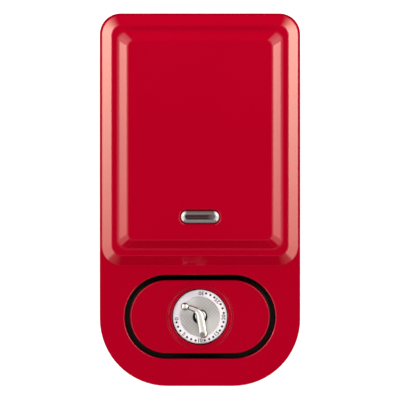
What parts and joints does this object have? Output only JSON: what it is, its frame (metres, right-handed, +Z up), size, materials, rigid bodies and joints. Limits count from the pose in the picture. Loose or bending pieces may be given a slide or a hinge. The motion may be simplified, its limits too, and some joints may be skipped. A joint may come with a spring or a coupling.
{
  "type": "sandwich press",
  "caption": "Hinged single-slice sandwich press with loop handle, wind-up timer and two removable heating plates.",
  "frame": {"origin": "middle of the footprint, on the surface that the rubber feet stand on", "axes": "+X to the right as seen from the handle, +Y from the handle to the rear hinge, +Z up"},
  "size_m": [0.134, 0.249, 0.0859],
  "materials": {
    "red_gloss": "high gloss",
    "black_moulding": "fine grain",
    "rubber": "matt",
    "steel": "satin",
    "screw_steel": "zinc plated",
    "tin_sheet": "bright sheet",
    "plate_coating": "non-stick coating",
    "heater_steel": "satin",
    "ceramic": "unglazed",
    "brass": "satin",
    "spring_steel": "blued",
    "lead_sleeve": "woven sleeve",
    "dial_metal": "spun and printed",
    "chrome": "polished",
    "lens": "smoked, clear",
    "neon": "clear glass"
  },
  "bodies": {
    "base": {"base_shell": "red_gloss", "bottom_cover": "black_moulding", "cover_screws": "screw_steel", "rubber_feet": "rubber", "base_frame": "black_moulding", "base_frame_screws": "screw_steel", "lower_reflector": "tin_sheet", "lower_heater": "heater_steel", "lower_heater_bushes": "ceramic", "lower_plate": "plate_coating", "lower_catch_spring": "spring_steel", "thermal_cutout": "ceramic", "terminal_block": "ceramic", "cord_gland": "black_moulding", "mains_leads": "lead_sleeve", "latch_keeper": "steel", "keeper_screws": "screw_steel", "hinge_pins": "steel", "timer_console": "red_gloss", "console_screws": "screw_steel", "timer_screws": "screw_steel", "timer_top_plate": "brass", "timer_bottom_plate": "brass", "timer_pillars": "steel", "mainspring": "spring_steel", "switch_block": "black_moulding", "switch_leaf": "brass", "contact_leaf": "brass", "timer_bell": "chrome"},
    "lid": {"lid_shell": "red_gloss", "handle_cover": "black_moulding", "handle_screws": "screw_steel", "lid_frame": "black_moulding", "lid_frame_screws": "screw_steel", "upper_reflector": "tin_sheet", "upper_heater": "heater_steel", "upper_heater_bushes": "ceramic", "upper_plate": "plate_coating", "upper_catch_spring": "spring_steel", "lamp_bezel": "chrome", "lamp_lens": "lens", "lamp_holder": "black_moulding", "neon_lamp": "neon", "latch_pin": "steel"},
    "lower_catch": {"lower_catch": "black_moulding"},
    "upper_catch": {"upper_catch": "black_moulding"},
    "lid_latch": {"lid_latch": "black_moulding"},
    "timer_spindle": {"timer_arbor": "steel", "switch_cam": "ceramic", "main_wheel": "brass", "timer_dial": "dial_metal", "timer_lever": "chrome"},
    "second_wheel": {"second_wheel": "brass"},
    "escape_wheel": {"escape_wheel": "brass"}
  },
  "joints": [
    {"name": "lid_hinge", "type": "hinge", "parent": "base", "child": "lid", "pos_m": [0, 0.1185, 0.0485], "axis": [-1, 0, 0], "range_deg": [0, 105]},
    {"name": "latch_swing", "type": "hinge", "parent": "lid", "child": "lid_latch", "pos_m": [0, -0.1205, 0.062], "axis": [-1, 0, 0], "range_deg": [-2.6, 60]},
    {"name": "lower_catch_slide", "type": "slide", "parent": "base", "child": "lower_catch", "axis": [0, -1, 0], "range_m": [0, 0.0032], "stiffness_N_per_m": 400},
    {"name": "upper_catch_slide", "type": "slide", "parent": "lid", "child": "upper_catch", "axis": [0, -1, 0], "range_m": [0, 0.0032], "stiffness_N_per_m": 400},
    {"name": "timer_turn", "type": "hinge", "parent": "base", "child": "timer_spindle", "pos_m": [0, -0.0783, 0.07], "axis": [0, 0, 1], "range_deg": [-264, 0]},
    {"name": "second_wheel_turn", "type": "hinge", "parent": "base", "child": "second_wheel", "pos_m": [0.018, -0.0783, 0.055], "axis": [0, 0, 1], "range_deg": [0, 1056]},
    {"name": "escape_wheel_turn", "type": "hinge", "parent": "base", "child": "escape_wheel", "pos_m": [0.01566, -0.06501, 0.055], "axis": [0, 0, 1], "range_deg": [-4224, 0]}
  ],
  "couplings": [
    {"joint": "second_wheel_turn", "follows": "timer_turn", "ratio": -4},
    {"joint": "escape_wheel_turn", "follows": "timer_turn", "ratio": 16}
  ]
}
